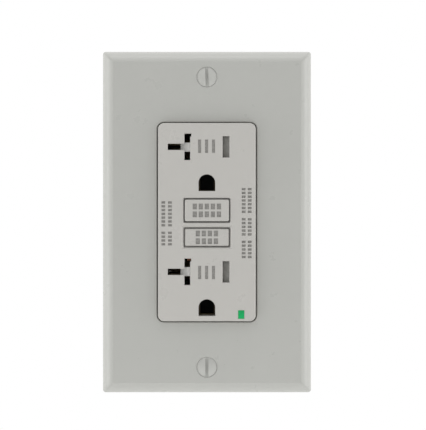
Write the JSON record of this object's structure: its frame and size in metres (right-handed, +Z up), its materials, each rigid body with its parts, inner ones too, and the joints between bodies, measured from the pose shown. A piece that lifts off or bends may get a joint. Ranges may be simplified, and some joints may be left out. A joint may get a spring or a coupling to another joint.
{
  "type": "ground-fault receptacle",
  "caption": "Wall receptacle with ground-fault protection: a bevelled one-gang plate around a rectangular face with T-slot outlets, shutters, reset and test buttons, and a green lamp.",
  "frame": {"origin": "midway between the two box screws, in the wall plane", "axes": "+Z up, +Y into the wall along the box screws, so the front faces -Y"},
  "size_m": [0.0698, 0.0391, 0.1142],
  "materials": {
    "plate_plastic": "satin",
    "face_plastic": "satin",
    "screw_paint": "satin",
    "lens": "clear",
    "shutter_plastic": "matt",
    "zinc_steel": "zinc plated",
    "fibre": "matt",
    "dark_plastic": "matt",
    "white_plastic": "matt",
    "brass": "plain",
    "nickel_brass": "nickel plated",
    "silver": "plain",
    "copper": "enamelled",
    "spring_steel": "plain",
    "green_steel": "dyed",
    "board": "solder mask",
    "ferrite": "matt",
    "varistor_blue": "matt",
    "capacitor_yellow": "matt"
  },
  "bodies": {
    "device": {"box_screws": "zinc_steel", "circuit_board": "board", "coil_housing": "dark_plastic", "contact_frame": "dark_plastic", "control_chip": "ferrite", "diodes": "ferrite", "face_cover": "face_plastic", "film_capacitor": "capacitor_yellow", "fixed_contact_tips": "silver", "ground_contacts": "brass", "ground_rivets": "zinc_steel", "hot_contacts": "brass", "housing_screws": "zinc_steel", "led": "lens", "led_lens": "lens", "line_conductors": "copper", "line_hot_terminal": "brass", "line_neutral_terminal": "nickel_brass", "mounting_strap": "zinc_steel", "neutral_coil": "ferrite", "neutral_contacts": "nickel_brass", "plate_screws": "screw_paint", "rear_body": "dark_plastic", "reset_spring": "spring_steel", "resistors": "shutter_plastic", "screw_washers": "fibre", "sense_coil": "ferrite", "shutter_spring_lower": "spring_steel", "shutter_spring_upper": "spring_steel", "solenoid_bobbin": "white_plastic", "solenoid_winding": "copper", "solenoid_yoke": "zinc_steel", "test_contact": "silver", "test_spring": "spring_steel", "thyristor": "ferrite", "varistor": "varistor_blue", "wall_plate": "plate_plastic"},
    "reset": {"reset_button": "face_plastic", "reset_pin": "spring_steel"},
    "test": {"test_button": "face_plastic"},
    "shutter_upper": {"shutter_upper": "shutter_plastic"},
    "shutter_lower": {"shutter_lower": "shutter_plastic"},
    "lifter": {"lifter": "dark_plastic", "latch_spring": "spring_steel"},
    "latch": {"latch": "zinc_steel"},
    "plunger": {"solenoid_plunger": "zinc_steel"},
    "arm_hot": {"contact_arm_hot": "copper", "contact_tip_hot": "silver"},
    "arm_neutral": {"contact_arm_neutral": "copper", "contact_tip_neutral": "silver"},
    "ground_washer": {"ground_washer": "green_steel"},
    "ground_screw": {"ground_screw": "green_steel"},
    "load_hot_clamp": {"load_hot_clamp": "brass"},
    "load_hot_screw": {"load_hot_screw": "brass"},
    "load_neutral_clamp": {"load_neutral_clamp": "nickel_brass"},
    "load_neutral_screw": {"load_neutral_screw": "nickel_brass"},
    "line_hot_clamp": {"line_hot_clamp": "brass"},
    "line_hot_screw": {"line_hot_screw": "brass"},
    "line_neutral_clamp": {"line_neutral_clamp": "nickel_brass"},
    "line_neutral_screw": {"line_neutral_screw": "nickel_brass"}
  },
  "joints": [
    {"name": "reset_press", "type": "slide", "parent": "device", "child": "reset", "axis": [0, 1, 0], "range_m": [0, 0.002], "stiffness_N_per_m": 500, "springref_m": -0.002, "deforming": ["reset_spring"]},
    {"name": "test_press", "type": "slide", "parent": "device", "child": "test", "axis": [0, 1, 0], "range_m": [0, 0.0012], "stiffness_N_per_m": 600, "springref_m": -0.001, "deforming": ["test_spring"]},
    {"name": "shutter_upper_slide", "type": "slide", "parent": "device", "child": "shutter_upper", "axis": [1, 0, 0], "range_m": [0, 0.0032], "stiffness_N_per_m": 60, "springref_m": -0.002, "deforming": ["shutter_spring_upper"]},
    {"name": "shutter_lower_slide", "type": "slide", "parent": "device", "child": "shutter_lower", "axis": [1, 0, 0], "range_m": [0, 0.0032], "stiffness_N_per_m": 60, "springref_m": -0.002, "deforming": ["shutter_spring_lower"]},
    {"name": "lifter_drop", "type": "slide", "parent": "device", "child": "lifter", "axis": [0, 1, 0], "range_m": [0, 0.0014]},
    {"name": "arm_hot_open", "type": "hinge", "parent": "device", "child": "arm_hot", "pos_m": [0.0054, 0.0125, -0.0145], "axis": [-1, 0, 0], "range_deg": [0, 3.75]},
    {"name": "arm_neutral_open", "type": "hinge", "parent": "device", "child": "arm_neutral", "pos_m": [-0.0054, 0.0125, -0.0145], "axis": [-1, 0, 0], "range_deg": [0, 3.75]},
    {"name": "plunger_pull", "type": "slide", "parent": "device", "child": "plunger", "axis": [0, 0, -1], "range_m": [0, 0.0015], "stiffness_N_per_m": 60, "springref_m": -0.002},
    {"name": "latch_slide", "type": "slide", "parent": "lifter", "child": "latch", "axis": [0, 0, -1], "range_m": [0, 0.0015], "stiffness_N_per_m": 60, "springref_m": -0.002, "deforming": ["latch_spring"]},
    {"name": "load_hot_screw_turn", "type": "hinge", "parent": "load_hot_clamp", "child": "load_hot_screw", "pos_m": [0.0174, 0.0145, 0.017], "axis": [-1, 0, 0], "range_deg": [0, 925.2]},
    {"name": "load_hot_clamp_slide", "type": "slide", "parent": "device", "child": "load_hot_clamp", "axis": [1, 0, 0], "range_m": [0, 0.002]},
    {"name": "load_neutral_screw_turn", "type": "hinge", "parent": "load_neutral_clamp", "child": "load_neutral_screw", "pos_m": [-0.0174, 0.0145, 0.017], "axis": [1, 0, 0], "range_deg": [0, 925.2]},
    {"name": "load_neutral_clamp_slide", "type": "slide", "parent": "device", "child": "load_neutral_clamp", "axis": [-1, 0, 0], "range_m": [0, 0.002]},
    {"name": "line_hot_screw_turn", "type": "hinge", "parent": "line_hot_clamp", "child": "line_hot_screw", "pos_m": [0.0174, 0.0145, -0.017], "axis": [-1, 0, 0], "range_deg": [0, 925.2]},
    {"name": "line_hot_clamp_slide", "type": "slide", "parent": "device", "child": "line_hot_clamp", "axis": [1, 0, 0], "range_m": [0, 0.002]},
    {"name": "line_neutral_screw_turn", "type": "hinge", "parent": "line_neutral_clamp", "child": "line_neutral_screw", "pos_m": [-0.0174, 0.0145, -0.017], "axis": [1, 0, 0], "range_deg": [0, 925.2]},
    {"name": "line_neutral_clamp_slide", "type": "slide", "parent": "device", "child": "line_neutral_clamp", "axis": [-1, 0, 0], "range_m": [0, 0.002]},
    {"name": "ground_screw_turn", "type": "hinge", "parent": "ground_washer", "child": "ground_screw", "pos_m": [-0.0096, 0.0052, -0.0422], "axis": [0, 0, 1], "range_deg": [0, 925.2]},
    {"name": "ground_washer_slide", "type": "slide", "parent": "device", "child": "ground_washer", "axis": [0, 0, -1], "range_m": [0, 0.002]}
  ],
  "couplings": [
    {"joint": "arm_hot_open", "follows": "lifter_drop", "rad_per_m": 46.5},
    {"joint": "arm_neutral_open", "follows": "lifter_drop", "rad_per_m": 46.5},
    {"joint": "latch_slide", "follows": "plunger_pull", "ratio": 1},
    {"joint": "load_hot_screw_turn", "follows": "load_hot_clamp_slide", "rad_per_m": 7915.8},
    {"joint": "load_neutral_screw_turn", "follows": "load_neutral_clamp_slide", "rad_per_m": 7915.8},
    {"joint": "line_hot_screw_turn", "follows": "line_hot_clamp_slide", "rad_per_m": 7915.8},
    {"joint": "line_neutral_screw_turn", "follows": "line_neutral_clamp_slide", "rad_per_m": 7915.8},
    {"joint": "ground_screw_turn", "follows": "ground_washer_slide", "rad_per_m": 7915.8}
  ]
}
